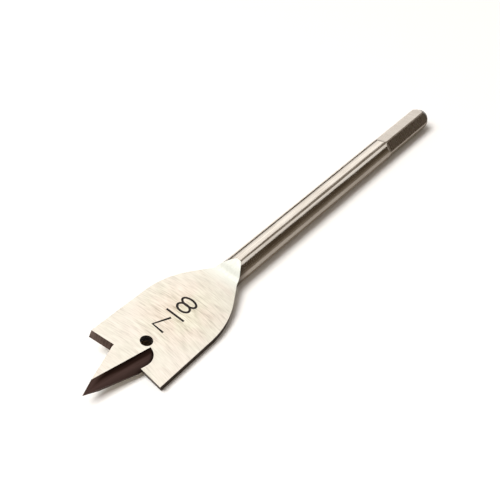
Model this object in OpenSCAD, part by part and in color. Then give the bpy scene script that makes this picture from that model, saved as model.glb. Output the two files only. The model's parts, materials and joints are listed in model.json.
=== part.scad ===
// Flat spade drill bit, forged and ground from one bar of steel.
// It lies at rest on its shank and on the edge of one wing.
// Origin: on the shank's axis at the driven end. +X runs along the axis to the point, +Z is up.

/* [Overall] */
// Length from the driven end to the tip of the point
overall_len = 152.4; // [130:0.2:200]
// Cutting diameter across the wings
cut_d = 22.2; // [18:0.1:32]
// Thickness of the flat blade
blade_t = 2; // [1.7:0.05:2.4]

/* [Shank] */
// Diameter of the round shank
shank_d = 7.1; // [6.8:0.05:7.3]
// Size across the flats of the driven end
hex_af = 6.35; // [6:0.05:6.6]
// Length of the flats of the driven end
hex_len = 24; // [16:0.5:32]
// Turn of the flats from the face of the blade, in degrees
hex_turn = 17; // [0:1:60]
// Radius of the run-out at the inner end of each flat
hex_run_r = 4; // [2:0.5:10]
// Depth of the chamfer on the driven end
end_chamfer = 1; // [0.4:0.1:1.4]
// Length of the chamfer on the driven end
end_chamfer_len = 2; // [0.8:0.1:3]

/* [Blade] */
// Length of the straight side of each wing
side_len = 19; // [14:0.5:28]
// Back taper of each side, in degrees
side_taper = 0.8; // [0.2:0.1:1.5]
// Radius of the rounded shoulders
shoulder_r = 26; // [14:0.5:30]
// Angle of the tapering shoulders to the axis, in degrees
shoulder_angle = 31; // [24:0.5:40]
// Diameter of the wire hole
hole_d = 3.2; // [2:0.1:3.6]
// Distance from the tip to the middle of the wire hole
hole_back = 21; // [20:0.1:24]

/* [Neck] */
// Length of the forged ramp between the blade's face and the shank
ramp_len = 6.5; // [5.5:0.1:9]
// Share of the ramp that its rounded crest takes
crest_share = 0.68; // [0.4:0.02:0.8]
// Radius of the flare from the shank to the blade's edges
flare_r = 10; // [8:0.5:12]

/* [Point and lips] */
// Length of the point, from its root to its tip
point_len = 14.1; // [12:0.1:16]
// Width of the point at its root
point_base = 8.9; // [7.5:0.1:10]
// Forward sweep of the lips, in degrees
lip_sweep = 6.3; // [2:0.1:10]
// Relief angle behind the lips, in degrees
lip_relief = 18; // [8:0.5:24]

/* [Flutes] */
// Angle between the ridge of a flute and the axis, in degrees
flute_angle = 11; // [9:0.1:13]
// Distance from the tip to the place where the ridge crosses the axis
flute_cross = 10.4; // [9:0.1:11.5]
// Distance from the tip to the middle of the flute's round end
flute_back = 16.6; // [16:0.1:17.5]
// Radius of the flute's round end
flute_r = 3.75; // [3.7:0.05:4]
// Thickness left between the two flutes at the tip
tip_web = 0.2; // [0.1:0.05:0.4]

/* [Hidden] */
$fn = 96;

half_w = cut_d / 2;
half_t = blade_t / 2;
shank_r = shank_d / 2;
base_half = point_base / 2;
quarter_turn = 90;
half_turn = 180;
hex_sides = 6;
hex_step = 360 / hex_sides;

// Lips: inner corner at the root of the point, outer corner ahead of it
lip_x = overall_len - point_len;
lip_run = half_w - base_half;
corner_x = lip_x + lip_run * tan(lip_sweep);
lip_len = lip_run / cos(lip_sweep);

// Straight side, then the round shoulder, then the taper to the neck
shoulder_x = corner_x - side_len;
shoulder_y = half_w - side_len * tan(side_taper);
arc_x = shoulder_x + shoulder_r * sin(side_taper);
arc_y = shoulder_y - shoulder_r * cos(side_taper);
taper_x = arc_x - shoulder_r * sin(shoulder_angle);
taper_y = arc_y + shoulder_r * cos(shoulder_angle);
neck_x = taper_x - (taper_y - shank_r) / tan(shoulder_angle);
tail_y = shank_r / 2;
tail_x = taper_x - (taper_y - tail_y) / tan(shoulder_angle);

// Neck: the flare runs out inside the blade
flare_share = 0.9;
flare_x = neck_x - flare_share * flare_r * tan(shoulder_angle / 2);
flare_len = flare_r * sin(shoulder_angle);
bar_len = flare_x + flare_len;

// Ramp: a round crest from just above the shank, then a hollow foot to just under the blade's face
ramp_lead = 0.9;
ramp_dip = 0.05;
foot_x = neck_x + ramp_lead;
foot_z = half_t - ramp_dip;
crest_x = foot_x - ramp_len;
crest_z = shank_r + ramp_dip;
ramp_drop = crest_z - foot_z;
ramp_angle = 2 * atan(ramp_drop / ramp_len);
crest_r = crest_share * ramp_len / sin(ramp_angle);
foot_r = (1 - crest_share) * ramp_len / sin(ramp_angle);
bend_x = crest_x + crest_r * sin(ramp_angle);
bend_z = crest_z - crest_r * (1 - cos(ramp_angle));

// Flutes: the floor falls from the ridge so that a thin web is left at the tip
flute_x = overall_len - flute_back;
flute_y = (flute_back - flute_cross) * tan(flute_angle);
tip_offset = flute_cross * sin(flute_angle);
flute_slope = atan((half_t - tip_web / 2) / tip_offset);

// Turn about the axis at which the edge of one wing and the shank touch one flat surface
edge_y = half_w - blade_t * tan(lip_relief) * tan(side_taper);
rest_turn = asin(shank_r / norm([edge_y, half_t])) - atan2(half_t, edge_y);

// The same shape on both faces, half a turn apart
module both_faces() {
    children();
    rotate([half_turn, 0, 0])
        children();
}

// The same shape on both sides of the axis
module both_sides() {
    children();
    mirror([0, 1])
        children();
}

// One flat ground on the driven end, with the round run-out that its wheel leaves
module flat_cut() {
    level = hex_af / 2;
    wide = 2 * shank_d;
    translate([-hex_len, -shank_d, level])
        cube([2 * hex_len, wide, shank_d]);
    translate([hex_len, 0, level + hex_run_r])
        rotate([quarter_turn, 0, 0])
            cylinder(r = hex_run_r, h = wide, center = true);
}

// Side view of what the forging takes off above the ramp, from its crest to its hollow foot
module ramp_profile() {
    top_z = 2 * shank_d;
    difference() {
        union() {
            polygon([
                [crest_x, crest_z],
                [bend_x, bend_z],
                [foot_x, foot_z],
                [overall_len, foot_z],
                [overall_len, top_z],
                [crest_x, top_z]
            ]);
            translate([foot_x, foot_z + foot_r])
                circle(r = foot_r);
        }
        translate([crest_x, crest_z - crest_r])
            circle(r = crest_r);
    }
}

// What the forging takes off one face of the neck
module ramp_cut() {
    rotate([quarter_turn, 0, 0])
        linear_extrude(height = 2 * cut_d, center = true)
            ramp_profile();
}

// Round shoulder between a straight side and its taper, above the axis
module shoulder() {
    reach = 2 * shoulder_r;
    intersection() {
        translate([arc_x, arc_y])
            circle(r = shoulder_r);
        polygon([
            [arc_x, arc_y],
            [arc_x - reach * sin(side_taper), arc_y + reach * cos(side_taper)],
            [arc_x - reach * sin(shoulder_angle), arc_y + reach * cos(shoulder_angle)]
        ]);
        square([overall_len, cut_d]);
    }
}

// Outline of the blade with its point, lips, sides and shoulders
module blade_outline() {
    polygon([
        [overall_len, 0],
        [lip_x, base_half],
        [corner_x, half_w],
        [shoulder_x, shoulder_y],
        [taper_x, taper_y],
        [tail_x, tail_y],
        [tail_x, -tail_y],
        [taper_x, -taper_y],
        [shoulder_x, -shoulder_y],
        [corner_x, -half_w],
        [lip_x, -base_half]
    ]);
    both_sides()
        shoulder();
}

// Flat blade
module blade() {
    linear_extrude(height = blade_t, center = true)
        blade_outline();
}

// Half profile of the turned bar: chamfered end, round shank, flare into the blade
module bar_profile() {
    polygon([
        [0, 0],
        [shank_r - end_chamfer, 0],
        [shank_r, end_chamfer_len],
        [shank_r, bar_len],
        [0, bar_len]
    ]);
    difference() {
        translate([shank_r / 2, flare_x])
            square([shank_r / 2 + flare_r, flare_len]);
        translate([shank_r + flare_r, flare_x])
            circle(r = flare_r);
    }
}

// Round bar with the flats ground on its driven end
module driven_bar() {
    difference() {
        rotate([0, quarter_turn, 0])
            rotate_extrude()
                bar_profile();
        for (side = [0 : hex_sides - 1])
            rotate([side * hex_step, 0, 0])
                flat_cut();
    }
}

// Shank: the bar with the forged ramps of its neck
module shank() {
    difference() {
        rotate([hex_turn, 0, 0])
            driven_bar();
        both_faces()
            ramp_cut();
    }
}

// Relief under one lip, which leaves its cutting edge on the upper face
module lip_cut() {
    translate([lip_x, base_half, half_t])
        rotate([0, 0, -lip_sweep])
            rotate([0, lip_relief, 0])
                translate([0, 0, -2 * blade_t])
                    cube([blade_t, lip_len + blade_t, 3 * blade_t]);
}

// Flute beside the point: a floor that falls away from its ridge, with a round end in the blade
module flute_cut() {
    wide = 2 * flute_r;
    long = 2 * point_len;
    tall = 2 * blade_t;
    translate([flute_x, flute_y, half_t])
        rotate([0, 0, -flute_angle])
            intersection() {
                union() {
                    cylinder(r = flute_r, h = tall, center = true);
                    translate([0, -flute_r, -blade_t])
                        cube([long, wide, tall]);
                }
                rotate([-flute_slope, 0, 0])
                    translate([-wide, -wide, 0])
                        cube([long + 2 * wide, 2 * wide, 2 * tall]);
            }
}

// Hole through the blade on the axis
module wire_hole() {
    translate([overall_len - hole_back, 0, 0])
        cylinder(d = hole_d, h = 2 * blade_t, center = true);
}

module spade_bit() {
    color([0.78, 0.76, 0.73])
        rotate([-rest_turn, 0, 0])
            difference() {
                union() {
                    blade();
                    shank();
                }
                both_faces() {
                    lip_cut();
                    flute_cut();
                }
                wire_hole();
            }
}

spade_bit();
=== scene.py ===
import json
import math

import bmesh
import bpy
from mathutils import Matrix, Vector


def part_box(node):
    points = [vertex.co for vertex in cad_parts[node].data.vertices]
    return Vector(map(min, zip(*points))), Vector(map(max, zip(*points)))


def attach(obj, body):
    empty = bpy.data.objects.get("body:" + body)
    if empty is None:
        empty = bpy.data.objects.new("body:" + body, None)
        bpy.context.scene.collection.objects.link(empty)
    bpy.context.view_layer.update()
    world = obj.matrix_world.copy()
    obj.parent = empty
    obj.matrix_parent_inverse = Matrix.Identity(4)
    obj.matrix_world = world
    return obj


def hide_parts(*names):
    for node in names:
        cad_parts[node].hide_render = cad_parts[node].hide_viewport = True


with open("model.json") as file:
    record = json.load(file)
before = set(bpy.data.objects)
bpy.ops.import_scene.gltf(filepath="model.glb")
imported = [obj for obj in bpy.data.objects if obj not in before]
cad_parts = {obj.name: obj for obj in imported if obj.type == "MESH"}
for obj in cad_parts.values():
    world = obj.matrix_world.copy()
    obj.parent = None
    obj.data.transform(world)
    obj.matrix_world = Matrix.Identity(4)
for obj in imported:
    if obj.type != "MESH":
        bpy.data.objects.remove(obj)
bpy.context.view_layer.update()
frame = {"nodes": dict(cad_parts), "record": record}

MM = 0.001
NODE = "spade_bit"

# The bit's own frame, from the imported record: tip, blade's plane, floor and shank
mounts = {m["name"]: m for m in frame["record"]["mounts"]}
node_low, node_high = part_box(NODE)
TIP_X = node_high.x
FLOOR_Z = node_low.z
SHANK_R = mounts["shank"]["dims"]["r_mm"] * MM
ALONG = Vector((1, 0, 0))
FACE_NORMAL = Vector(mounts["wire_hole"]["axis"]).normalized()
ACROSS = FACE_NORMAL.cross(ALONG)
ROLL = math.atan2(FACE_NORMAL.y, FACE_NORMAL.z)
HALF_BLADE = 1.0 * MM

# Places along the axis: past the chamfer, past the flats, where the shank begins to turn darker brown, the
# neck, where the brushing of the neck ends on the blade, and behind the flutes
CHAMFER_X = 2.2 * MM
FLATS_END_X = 25.8 * MM
DARKENING_X = 96.3 * MM
NECK_X = 101.5 * MM
BRUSHED_X = NECK_X + 3.5 * MM
POINT_X = 130.0 * MM

# The blade: its middle, how far from there its painted highlight reaches, and the radius that its streaks
# bow to
BLADE_MIDDLE = Vector((TIP_X - 33.0 * MM, 0, 0))
BLADE_REACH = Vector((14.0 * MM, 11.5 * MM, 1.0))
WHEEL_R = 50.0 * MM

# The hole and the flutes: reach of their faces, the turn and crossing of a ridge, and how wide the painted
# shade below it falls
HOLE_REACH = 2.2 * MM
FLUTE_REACH = 8.0 * MM
FLUTE_TURN = math.radians(11)
FLUTE_WIDE = 4.0 * MM
RIDGE_CROSS_X = TIP_X - 10.4 * MM


def on_face(back, aside, lift=0.0):
    """Place on the upper face, in mm: back from the tip, aside to the lower wing, lift above the face."""
    ahead = ALONG * (TIP_X - back * MM)
    return ahead + ACROSS * (aside * MM) + FACE_NORMAL * (HALF_BLADE + lift * MM)


# Materials

def linear(hex_colour):
    """Linear colour of an sRGB hex value such as "F2EADD"."""
    def channel(text):
        value = int(text, 16) / 255
        return value / 12.92 if value <= 0.04045 else ((value + 0.055) / 1.055) ** 2.4
    return tuple(channel(hex_colour[i:i + 2]) for i in (0, 2, 4)) + (1.0,)


def add(tree, kind, settings=None, **inputs):
    """Add a node, set its properties and a ramp's stops, and give its inputs values or links."""
    node = tree.nodes.new(kind)
    for name, value in (settings or {}).items():
        if name != "stops":
            setattr(node, name, value)
            continue
        while len(node.color_ramp.elements) < len(value):
            node.color_ramp.elements.new(0.5)
        for element, (position, colour) in zip(node.color_ramp.elements, value):
            element.position = position
            element.color = linear(colour)
    for name, value in inputs.items():
        key = int(name[1:]) if name[1:].isdigit() else name.replace("_", " ")
        socket = node.inputs[key]
        if isinstance(value, bpy.types.Node):
            value = next(output for output in value.outputs if output.enabled)
        if isinstance(value, bpy.types.NodeSocket):
            tree.links.new(value, socket)
        else:
            socket.default_value = value
    return node


def steel(name):
    """A new material, its tree, and coordinates turned into the blade's plane, in metres."""
    material = bpy.data.materials.new(name)
    material.use_nodes = True
    tree = material.node_tree
    tree.nodes.clear()
    place = add(tree, "ShaderNodeTexCoord").outputs["Object"]
    return material, tree, add(tree, "ShaderNodeMapping", Vector=place, Rotation=(ROLL, 0, 0))


def streaks(tree, level, along_mm, across_mm, up_mm=5.0, detail=3.0, twist=0.0):
    """Grinding or drawing marks: a mark's size along the axis, across it and up, in mm, and its turn."""
    size = (along_mm * MM, across_mm * MM, up_mm * MM)
    drawn = add(tree, "ShaderNodeMapping", {"vector_type": "TEXTURE"}, Vector=level,
                Rotation=(0, 0, twist), Scale=size)
    return add(tree, "ShaderNodeTexNoise", Vector=drawn, Scale=1.0, Detail=detail, Roughness=0.55)


def shade(tree, **inputs):
    """Close a material's tree with its shader."""
    shader = add(tree, "ShaderNodeBsdfPrincipled", **inputs)
    add(tree, "ShaderNodeOutputMaterial", Surface=shader)


def ground_blade_steel():
    """Carbon steel, ground flat by a round wheel: pale, with bowed streaks, and a painted highlight that
    makes it paler and plainer towards its edges.
    """
    material, tree, level = steel("ground_blade_steel")
    apart = add(tree, "ShaderNodeSeparateXYZ", Vector=level).outputs
    square = add(tree, "ShaderNodeMath", {"operation": "MULTIPLY"}, _0=apart["Y"], _1=apart["Y"])
    ahead = add(tree, "ShaderNodeMath", {"operation": "MULTIPLY_ADD"}, _0=square,
                _1=-0.5 / WHEEL_R, _2=apart["X"])
    bowed = add(tree, "ShaderNodeCombineXYZ", X=ahead, Y=apart["Y"], Z=apart["Z"])
    fine = streaks(tree, bowed, 0.3, 3.2, detail=2.0)
    broad = streaks(tree, bowed, 1.3, 4.5, detail=2.0)
    tint = streaks(tree, level, 5.5, 7.0, detail=2.0)
    both = add(tree, "ShaderNodeMix", {"data_type": "FLOAT"}, _0=0.38, _2=fine, _3=broad)
    pale = add(tree, "ShaderNodeValToRGB", {"stops": (
        (0.34, "BCB09E"), (0.44, "D6CBBA"), (0.54, "E3D9C9"), (0.66, "EEE5D7"))}, Fac=both)
    blush = add(tree, "ShaderNodeValToRGB", {"stops": ((0.4, "FCFFF9"), (0.6, "FFFAF8"))}, Fac=tint)
    tone = add(tree, "ShaderNodeMix", {"data_type": "RGBA", "blend_type": "MULTIPLY"}, _0=1.0,
               _6=pale, _7=blush)
    # Painted highlight: the blade turns paler and plainer from its middle out to its edges
    middle = add(tree, "ShaderNodeMapping", {"vector_type": "TEXTURE"}, Vector=level,
                 Location=BLADE_MIDDLE, Scale=BLADE_REACH)
    outward = add(tree, "ShaderNodeVectorMath", {"operation": "LENGTH"}, _0=middle)
    painted_edge_highlight = add(tree, "ShaderNodeMapRange", Value=outward, From_Min=0.2, To_Max=0.55)
    tone = add(tree, "ShaderNodeMix", {"data_type": "RGBA"}, _0=painted_edge_highlight, _6=tone, _7=linear("E8E2D8"))
    brushed = add(tree, "ShaderNodeMapRange", Value=apart["X"], From_Min=BRUSHED_X, From_Max=NECK_X)
    tone = add(tree, "ShaderNodeMix", {"data_type": "RGBA"}, _0=brushed, _6=tone, _7=linear("EEEEE3"))
    rough = add(tree, "ShaderNodeMapRange", Value=fine, From_Min=0.3, From_Max=0.7,
                To_Min=0.46, To_Max=0.34)
    dents = add(tree, "ShaderNodeBump", Strength=0.35, Distance=0.012 * MM, Height=fine)
    shade(tree, Metallic=1.0, Base_Color=tone, Roughness=rough, Normal=dents)
    return material


def drawn_shank_steel():
    """Cold-drawn bar, polished along its length: bright, with hair lines, turning darker brown towards the
    neck.
    """
    material, tree, level = steel("drawn_shank_steel")
    ahead = add(tree, "ShaderNodeSeparateXYZ", Vector=level).outputs["X"]
    neck_darkening = add(tree, "ShaderNodeMapRange", Value=ahead, From_Min=DARKENING_X, From_Max=NECK_X)
    lines = streaks(tree, level, 30.0, 0.22, 0.22)
    cloud = streaks(tree, level, 9.0, 2.0, 2.0, detail=2.0)
    both = add(tree, "ShaderNodeMix", {"data_type": "FLOAT"}, _0=0.4, _2=lines, _3=cloud)
    tone = add(tree, "ShaderNodeValToRGB", {"stops": (
        (0.35, "C3B8AB"), (0.5, "D6CCC0"), (0.65, "E2DACF"))}, Fac=both)
    tone = add(tree, "ShaderNodeMix", {"data_type": "RGBA"}, _0=neck_darkening, _6=tone, _7=linear("5A4D43"))
    rough = add(tree, "ShaderNodeMapRange", Value=cloud, From_Min=0.35, From_Max=0.65,
                To_Min=0.13, To_Max=0.19)
    dents = add(tree, "ShaderNodeBump", Strength=0.25, Distance=0.004 * MM, Height=lines)
    shade(tree, Metallic=1.0, Base_Color=tone, Roughness=rough, Normal=dents)
    return material


def forged_neck_steel():
    """Forged neck, brushed smooth: nearly white, with faint lines along the axis."""
    material, tree, level = steel("forged_neck_steel")
    lines = streaks(tree, level, 8.0, 0.5, 0.5)
    tone = add(tree, "ShaderNodeValToRGB", {"stops": ((0.35, "E9E9DC"), (0.65, "F2F2E7"))}, Fac=lines)
    rough = add(tree, "ShaderNodeMapRange", Value=lines, From_Min=0.35, From_Max=0.65,
                To_Min=0.42, To_Max=0.34)
    dents = add(tree, "ShaderNodeBump", Strength=0.2, Distance=0.006 * MM, Height=lines)
    shade(tree, Metallic=1.0, Base_Color=tone, Roughness=rough, Normal=dents)
    return material


def milled_flat_steel():
    """Milled flats of the driven end: grey, with faint cutter marks across the axis."""
    material, tree, level = steel("milled_flat_steel")
    marks = streaks(tree, level, 0.5, 6.0, 6.0)
    tone = add(tree, "ShaderNodeValToRGB", {"stops": ((0.35, "BDB3A8"), (0.65, "C7BEB3"))}, Fac=marks)
    rough = add(tree, "ShaderNodeMapRange", Value=marks, From_Min=0.35, From_Max=0.65,
                To_Min=0.3, To_Max=0.25)
    dents = add(tree, "ShaderNodeBump", Strength=0.05, Distance=0.004 * MM, Height=marks)
    shade(tree, Metallic=1.0, Base_Color=tone, Roughness=rough, Normal=dents)
    return material


def scaled_end_steel():
    """Chamfer and end of the bar, left with the scale of its hardening: dark grey, clouded."""
    material, tree, level = steel("scaled_end_steel")
    cloud = streaks(tree, level, 1.2, 1.2, 1.2)
    tone = add(tree, "ShaderNodeValToRGB", {"stops": ((0.35, "232224"), (0.65, "3C3A3B"))}, Fac=cloud)
    rough = add(tree, "ShaderNodeMapRange", Value=cloud, From_Min=0.35, From_Max=0.65,
                To_Min=0.42, To_Max=0.28)
    shade(tree, Metallic=1.0, Base_Color=tone, Roughness=rough)
    return material


def burnt_flute_steel():
    """Flutes, ground last and hot: red brown with lines along the cut, with painted shade that turns them
    nearly black at the ridge.
    """
    material, tree, level = steel("burnt_flute_steel")
    lines = streaks(tree, level, 9.0, 0.7, 0.7, detail=2.0, twist=-FLUTE_TURN)
    # Painted shade: darkest at the ridge of each flute, lighter further down the cut
    both_cuts = add(tree, "ShaderNodeVectorMath", {"operation": "ABSOLUTE"}, _0=level)
    ridge = (0, -RIDGE_CROSS_X * math.sin(FLUTE_TURN), 0)
    beside = add(tree, "ShaderNodeMapping", Vector=both_cuts,
                 Rotation=(0, 0, FLUTE_TURN), Location=ridge)
    down = add(tree, "ShaderNodeSeparateXYZ", Vector=beside).outputs["Y"]
    fall = add(tree, "ShaderNodeMapRange", Value=down, From_Max=FLUTE_WIDE)
    both = add(tree, "ShaderNodeMix", {"data_type": "FLOAT"}, _0=0.25, _2=fall, _3=lines)
    tone = add(tree, "ShaderNodeValToRGB", {"stops": (
        (0.2, "160C09"), (0.32, "2C1D17"), (0.48, "4C3A35"), (0.62, "3F302B"),
        (0.85, "33251F"))}, Fac=both)
    rough = add(tree, "ShaderNodeMapRange", Value=lines, From_Min=0.35, From_Max=0.65,
                To_Min=0.45, To_Max=0.35)
    dents = add(tree, "ShaderNodeBump", Strength=0.2, Distance=0.008 * MM, Height=lines)
    shade(tree, Metallic=1.0, Base_Color=tone, Roughness=rough, Normal=dents)
    return material


def ground_lip_steel():
    """Relief faces of the lips, ground coarse: brown grey, partly from the coarse grind and partly painted
    shade, with marks that run down the face.
    """
    material, tree, level = steel("ground_lip_steel")
    marks = streaks(tree, level, 4.0, 0.3, 4.0)
    cloud = streaks(tree, level, 2.5, 2.5, 2.5, detail=1.0)
    both = add(tree, "ShaderNodeMix", {"data_type": "FLOAT"}, _0=0.55, _2=marks, _3=cloud)
    # Partly painted shade: the brown grey is darker than the grind alone would leave it
    tone = add(tree, "ShaderNodeValToRGB", {"stops": ((0.36, "3E312B"), (0.64, "6C5D56"))}, Fac=both)
    rough = add(tree, "ShaderNodeMapRange", Value=marks, From_Min=0.35, From_Max=0.65,
                To_Min=0.45, To_Max=0.34)
    dents = add(tree, "ShaderNodeBump", Strength=0.25, Distance=0.008 * MM, Height=marks)
    shade(tree, Metallic=1.0, Base_Color=tone, Roughness=rough, Normal=dents)
    return material


def side_edge_steel():
    """Sides of the blade, blanked and ground lightly, with marks across the edge: brown, darker than the
    blade with painted shade.
    """
    material, tree, level = steel("side_edge_steel")
    marks = streaks(tree, level, 0.25, 3.0, 3.0)
    # Painted shade: the sides are a dark brown for the shade that falls on them
    tone = add(tree, "ShaderNodeValToRGB", {"stops": ((0.35, "54483F"), (0.65, "7D6F64"))}, Fac=marks)
    rough = add(tree, "ShaderNodeMapRange", Value=marks, From_Min=0.35, From_Max=0.65,
                To_Min=0.5, To_Max=0.38)
    dents = add(tree, "ShaderNodeBump", Strength=0.3, Distance=0.008 * MM, Height=marks)
    shade(tree, Metallic=1.0, Base_Color=tone, Roughness=rough, Normal=dents)
    return material


def soot_and_hole_shade():
    """Bottom of the stamped mark, with scale and old oil, and wall of the drilled hole, darkened with
    painted shade: nearly black.
    """
    material, tree, level = steel("soot_and_hole_shade")
    cloud = streaks(tree, level, 0.6, 0.6, 0.6)
    tone = add(tree, "ShaderNodeValToRGB", {"stops": ((0.35, "120D0B"), (0.65, "2A211D"))}, Fac=cloud)
    rough = add(tree, "ShaderNodeMapRange", Value=cloud, From_Min=0.35, From_Max=0.65,
                To_Min=0.75, To_Max=0.55)
    shade(tree, Metallic=0.3, Base_Color=tone, Roughness=rough)
    return material


FINISHES = [
    ground_blade_steel(), drawn_shank_steel(), forged_neck_steel(), milled_flat_steel(), scaled_end_steel(),
    burnt_flute_steel(), ground_lip_steel(), side_edge_steel(), soot_and_hole_shade(),
]
FINISH = {m.name: i for i, m in enumerate(FINISHES)}

# How far a face looks along the blade's normal or the axis, from edge on to level,
# and shares of the shank's radius and the blade's half thickness that tell a cut from the bar
EDGE_ON, SLOPED, AHEAD, LEVEL = 0.05, 0.3, 0.8, 0.999
CUT_SHARE, FLAT_SHARE, TOP_SHARE = 0.985, 0.95, 0.98
STRAIGHT = 0.0001


def finish_of(face):
    """Which finish a face of the bit has, by where it is and which way it looks."""
    place, normal = face.calc_center_median(), face.normal
    height, facing = abs(place.dot(FACE_NORMAL)), abs(normal.dot(FACE_NORMAL))
    cut_in = math.hypot(place.y, place.z) < CUT_SHARE * SHANK_R
    hole_gap = (place - Vector(mounts["wire_hole"]["pos_m"])).length
    if place.x > NECK_X:
        if facing > LEVEL and height > TOP_SHARE * HALF_BLADE:
            return "ground_blade_steel"
        # The hole's wall takes the near-black finish as painted shade
        if facing < EDGE_ON and hole_gap < HOLE_REACH:
            return "soot_and_hole_shade"
        if place.x > POINT_X and normal.x > AHEAD and facing > EDGE_ON:
            return "ground_lip_steel"
        if place.x > POINT_X and (facing > EDGE_ON or abs(place.dot(ACROSS)) < FLUTE_REACH):
            return "burnt_flute_steel"
        return "side_edge_steel" if facing < SLOPED else "forged_neck_steel"
    if place.x < CHAMFER_X and normal.x < -SLOPED:
        return "scaled_end_steel"
    if place.x < FLATS_END_X and (cut_in or abs(normal.x) > SLOPED):
        return "milled_flat_steel"
    if place.x > FLATS_END_X and facing > SLOPED and cut_in:
        return "forged_neck_steel"
    return "drawn_shank_steel"


def is_plane(face):
    """Whether a face is one of the ground planes: blade, flute floor, lip or flat of the driven end."""
    facing = abs(face.normal.dot(FACE_NORMAL))
    if face.calc_center_median().x > NECK_X:
        ground = face.material_index in (FINISH["burnt_flute_steel"], FINISH["ground_lip_steel"])
        return facing > LEVEL or ground and facing > EDGE_ON
    reach = face.calc_center_median().dot(face.normal)
    return abs(face.normal.x) < STRAIGHT and reach < FLAT_SHARE * SHANK_R


# The bit: a merged copy of the node with its finishes, then the stamped mark

SAME_POINT = 0.001 * MM
SAME_PLANE = math.radians(0.05)
SHARP_ANGLE = math.radians(20)


def merged_copy():
    """Copy of the node's mesh, merged, its flat faces whole and its finishes set."""
    shape = bmesh.new()
    shape.from_mesh(frame["nodes"][NODE].data)
    bmesh.ops.remove_doubles(shape, verts=shape.verts, dist=SAME_POINT)
    bmesh.ops.dissolve_limit(shape, angle_limit=SAME_PLANE, verts=shape.verts, edges=shape.edges)
    for face in shape.faces:
        face.material_index = FINISH[finish_of(face)]
        face.smooth = not is_plane(face)
    mesh = bpy.data.meshes.new("forged_bit")
    shape.to_mesh(mesh)
    shape.free()
    for material in FINISHES:
        mesh.materials.append(material)
    piece = bpy.data.objects.new("forged_bit", mesh)
    bpy.context.scene.collection.objects.link(piece)
    return piece


# The punch: half width and depth of a stroke in the face, in mm, and the round nose that leaves them
STROKE_HALF = 0.32
STROKE_DEEP = 0.17
PUNCH_R = (STROKE_HALF ** 2 + STROKE_DEEP ** 2) / (2 * STROKE_DEEP)
PUNCH_LIFT = PUNCH_R - STROKE_DEEP


def loop_points(back, aside, half_long, half_wide, count=40):
    """Points round an oval on the face."""
    turns = [2 * math.pi * i / count for i in range(count)]
    return [(back + half_long * math.cos(t), aside + half_wide * math.sin(t)) for t in turns]


def stamp(piece, points, closed):
    """Press one round-nosed stroke into the upper face."""
    curve = bpy.data.curves.new("stroke", "CURVE")
    curve.dimensions = "3D"
    curve.bevel_depth = PUNCH_R * MM
    curve.bevel_resolution = 6
    curve.use_fill_caps = True
    spline = curve.splines.new("POLY")
    spline.points.add(len(points) - 1)
    for point, (back, aside) in zip(spline.points, points):
        point.co = (*on_face(back, aside, PUNCH_LIFT), 1)
    spline.use_cyclic_u = closed
    stroke = bpy.data.objects.new("stroke", curve)
    bpy.context.scene.collection.objects.link(stroke)
    bpy.context.view_layer.update()
    graph = bpy.context.evaluated_depsgraph_get()
    punch_mesh = bpy.data.meshes.new_from_object(stroke.evaluated_get(graph))
    punch_mesh.materials.append(FINISHES[FINISH["soot_and_hole_shade"]])
    for face in punch_mesh.polygons:
        face.material_index = 0
        face.use_smooth = True
    bpy.data.objects.remove(stroke)
    punch = bpy.data.objects.new("punch", punch_mesh)
    bpy.context.scene.collection.objects.link(punch)
    cut = piece.modifiers.new("stamp", "BOOLEAN")
    cut.operation = "DIFFERENCE"
    cut.solver = "EXACT"
    cut.material_mode = "TRANSFER"
    cut.object = punch
    bpy.context.view_layer.update()
    graph = bpy.context.evaluated_depsgraph_get()
    pressed = bpy.data.meshes.new_from_object(piece.evaluated_get(graph))
    piece.modifiers.clear()
    piece.data = pressed
    bpy.data.objects.remove(punch)


def sharpen(piece):
    """Merge double points, and keep the shading apart at sharp edges and where two finishes meet."""
    shape = bmesh.new()
    shape.from_mesh(piece.data)
    bmesh.ops.remove_doubles(shape, verts=shape.verts, dist=SAME_POINT)
    for edge in shape.edges:
        finishes = {face.material_index for face in edge.link_faces}
        edge.smooth = len(finishes) == 1 and edge.calc_face_angle(math.pi) < SHARP_ANGLE
    shape.to_mesh(piece.data)
    shape.free()


# Strokes of the size mark, a plain fraction: places on the face, and whether the stroke closes
MARK_STROKES = [
    ([(25.64, 1.13), (25.84, -2.43), (30.48, -0.58)], False),
    ([(31.8, -3.2), (31.8, 2.35)], False),
    (loop_points(35.05, -0.55, 1.25, 1.75), True),
    (loop_points(37.25, -0.55, 1.15, 2.05), True),
]

bit = merged_copy()
for stroke_points, stroke_closed in MARK_STROKES:
    stamp(bit, stroke_points, stroke_closed)
sharpen(bit)
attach(bit, "root")
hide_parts(NODE)


# Studio: white floor, soft box overhead, cards that the steel mirrors

FLOOR_HALF = 0.8
TARGET = Vector((0.08, 0.0, FLOOR_Z))
CARD_LIFT = 0.1 * MM
HOLE_CARD = Vector((128.8 * MM, -2.7 * MM, FLOOR_Z + 0.05 * MM))
HOLE_CARD_LONG, HOLE_CARD_WIDE = 4.2 * MM, 3.6 * MM
SOFTBOX = Vector((-0.9, -0.55, 0.95))
SOFTBOX_LONG, SOFTBOX_WIDE = 3.0, 1.8
SOFTBOX_GLOW = 1.35


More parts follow.
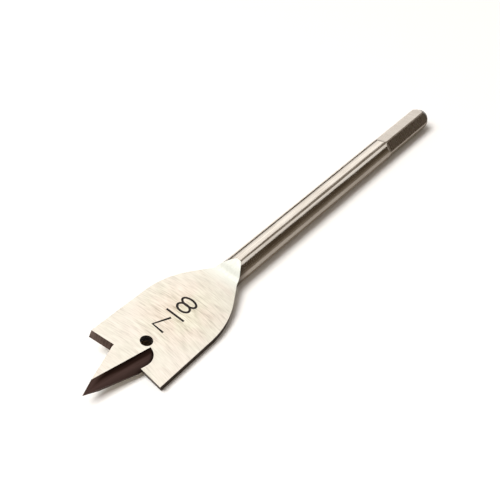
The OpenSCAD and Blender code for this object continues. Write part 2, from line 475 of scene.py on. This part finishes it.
def plane(name, centre, facing, long, wide, material):
    """A flat card of the stage, long along the axis, that looks along facing."""
    facing = Vector(facing).normalized()
    shape = bmesh.new()
    bmesh.ops.create_grid(shape, x_segments=1, y_segments=1, size=0.5)
    turn = Matrix((ALONG, facing.cross(ALONG), facing)).transposed().to_4x4()
    size = Matrix.Diagonal((long, wide, 1, 1))
    bmesh.ops.transform(shape, matrix=Matrix.Translation(centre) @ turn @ size, verts=shape.verts)
    mesh = bpy.data.meshes.new(name)
    shape.to_mesh(mesh)
    shape.free()
    mesh.materials.append(material)
    card = bpy.data.objects.new(name, mesh)
    bpy.context.scene.collection.objects.link(card)
    return card


def paper(name, colour):
    """Matt paper of one colour."""
    material = bpy.data.materials.new(name)
    material.use_nodes = True
    material.node_tree.nodes.clear()
    shade(material.node_tree, Base_Color=linear(colour), Roughness=0.9, Specular_IOR_Level=0.0)
    return material


def lit_cloth(name, colour, strength=1.0):
    """Cloth of one colour that glows evenly: the soft box's light, and for the dark cloths painted light in
    place of the light falling on them. The steel mirrors it as a bright or a dark band.
    """
    material = bpy.data.materials.new(name)
    material.use_nodes = True
    tree = material.node_tree
    tree.nodes.clear()
    glow = add(tree, "ShaderNodeEmission", Color=linear(colour), Strength=strength)
    add(tree, "ShaderNodeOutputMaterial", Surface=glow)
    return material


def only_mirrored(card):
    """Keep a card out of everything but what the steel mirrors."""
    card.visible_camera = False
    card.visible_diffuse = False
    card.visible_shadow = False


# Cards along the shank: how far off they stand, where they begin behind the bit, and where they end
CARD_REACH = 0.06
CARD_BACK = -0.14
SHANK_CARD_AHEAD = 0.066
BLADE_CARD_AHEAD = 0.16


def card_about(name, low, high, material):
    """A card along the shank, between two angles about it, in degrees up from the lower wing's side."""
    middle, half = math.radians((low + high) / 2), math.radians((high - low) / 2)
    outward = Vector((0, math.cos(middle), math.sin(middle)))
    centre = outward * CARD_REACH + ALONG * (CARD_BACK + SHANK_CARD_AHEAD) / 2
    wide = 2 * CARD_REACH * math.tan(half)
    only_mirrored(plane(name, centre, -outward, SHANK_CARD_AHEAD - CARD_BACK, wide, material))


def card_on_floor(name, ahead, y_low, y_high, material):
    """A card on the floor beside the bit, between two distances from its axis, as far ahead as given."""
    centre = ((CARD_BACK + ahead) / 2, (y_low + y_high) / 2, FLOOR_Z + CARD_LIFT)
    only_mirrored(plane(name, centre, (0, 0, 1), ahead - CARD_BACK, y_high - y_low, material))


# Cloths from dark to less dark, then papers
black = lit_cloth("cloth_black", "4C4236")
dim = lit_cloth("cloth_dim", "5F564A")
dusk = lit_cloth("cloth_dusk", "736A5E")
brown = lit_cloth("cloth_brown", "837B72")
grey = paper("card_grey", "ACA9A6")
hole_shade_paper = paper("hole_shade_sheet", "4D4136")
white_paper = paper("floor_paper", "F7F6F4")

plane("floor", TARGET, (0, 0, 1), 2 * FLOOR_HALF, 2 * FLOOR_HALF, white_paper)

# Each card gives the round shank one band: first by angle, then, nearer to the floor, by distance
card_about("right_card", 12, 43, black)
card_about("low_right_card", -6, 12, dim)
card_about("top_strip", 68, 90, brown)
card_about("left_card", 160, 184, black)
card_on_floor("far_floor_card", NECK_X, 0.024, 0.07, dusk)
card_on_floor("middle_floor_card", BLADE_CARD_AHEAD, 0.012, 0.024, brown)
card_on_floor("near_floor_card", BLADE_CARD_AHEAD, 0.0045, 0.012, grey)
# Painted shade: a dark card, seen only in the steel, in place of the contact shadow under the shank
card_on_floor("contact_shade_card", NECK_X, 0.0015, 0.0045, dusk)

# A dark paper on the floor under the blade, which shows through the wire hole: painted shade, in place of
# the shade under the blade
plane("hole_card", HOLE_CARD, (0, 0, 1), HOLE_CARD_LONG, HOLE_CARD_WIDE, hole_shade_paper)

# The soft box's cloth, which the blade and the top of the shank mirror
white_cloth = lit_cloth("softbox_cloth", "FFFFFF", SOFTBOX_GLOW)
only_mirrored(plane("softbox_cloth", SOFTBOX, (0, 0, -1), SOFTBOX_LONG, SOFTBOX_WIDE, white_cloth))

# The lamp stands ahead of the point and a little to the left, so shadows fall to the right and back
LAMP_WAY = Vector((0.5, -0.194, 1.0)).normalized()
LAMP_REACH = 2.0
LAMP_SIZE = 1.2
LAMP_WATTS = 44.0
lamp_data = bpy.data.lights.new("overhead_box", "AREA")
lamp_data.shape = "SQUARE"
lamp_data.size = LAMP_SIZE
lamp_data.energy = LAMP_WATTS
lamp = bpy.data.objects.new("overhead_box", lamp_data)
lamp.location = TARGET + LAMP_WAY * LAMP_REACH
lamp.rotation_mode = "QUATERNION"
lamp.rotation_quaternion = LAMP_WAY.to_track_quat("Z", "Y")
lamp.visible_glossy = False
bpy.context.scene.collection.objects.link(lamp)

# The room: white where it is seen or mirrored, and a warm fill from above on everything else
FILL_STRENGTH = 0.4
FILL_LOW, FILL_HIGH = 0.1, 0.5
world = bpy.data.worlds.new("studio")
bpy.context.scene.world = world
world.use_nodes = True
room = world.node_tree
room.nodes.clear()
rays = add(room, "ShaderNodeLightPath").outputs
seen = add(room, "ShaderNodeMath", {"operation": "MAXIMUM"},
           _0=rays["Is Camera Ray"], _1=rays["Is Glossy Ray"])
seen = add(room, "ShaderNodeMath", {"operation": "MAXIMUM"}, _0=seen, _1=rays["Is Transmission Ray"])
way = add(room, "ShaderNodeSeparateXYZ", Vector=add(room, "ShaderNodeTexCoord").outputs["Generated"])
fill = add(room, "ShaderNodeMapRange", Value=way.outputs["Z"], From_Min=FILL_LOW, From_Max=FILL_HIGH,
           To_Min=0.0, To_Max=FILL_STRENGTH)
strength = add(room, "ShaderNodeMapRange", Value=seen, To_Min=fill, To_Max=1.0)
colour = add(room, "ShaderNodeMix", {"data_type": "RGBA"}, _0=seen,
             _6=linear("FFF2E4"), _7=linear("FFFFFF"))
backdrop = add(room, "ShaderNodeBackground", Color=colour, Strength=strength)
add(room, "ShaderNodeOutputWorld", Surface=backdrop)

# Camera: the photograph's viewing angle, fitted to the point, the lips, the hole and the shank

CAMERA_PLACE = Vector((0.24566, 0.11881, 0.15506))
CAMERA_AZIMUTH = math.radians(127.5)
CAMERA_RISE = math.radians(38.01)
CAMERA_LEAN = math.radians(-0.47)
FOCAL_PX = 949.1
IMAGE_PX = 500
SENSOR_MM = 36.0

back = Vector((math.sin(CAMERA_AZIMUTH) * math.cos(CAMERA_RISE),
               -math.cos(CAMERA_AZIMUTH) * math.cos(CAMERA_RISE), math.sin(CAMERA_RISE)))
level_right = Vector((0, 0, 1)).cross(back).normalized()
level_up = back.cross(level_right)
right = level_right * math.cos(CAMERA_LEAN) + level_up * math.sin(CAMERA_LEAN)
up = level_up * math.cos(CAMERA_LEAN) - level_right * math.sin(CAMERA_LEAN)

camera_data = bpy.data.cameras.new("camera")
camera_data.sensor_width = SENSOR_MM
camera_data.lens = FOCAL_PX / IMAGE_PX * SENSOR_MM
camera_data.clip_start = 0.01
camera_data.clip_end = 20.0
camera = bpy.data.objects.new("camera", camera_data)
camera.matrix_world = Matrix.Translation(CAMERA_PLACE) @ Matrix((right, up, back)).transposed().to_4x4()
bpy.context.scene.collection.objects.link(camera)
bpy.context.scene.camera = camera
bpy.context.scene.view_settings.view_transform = "Standard"
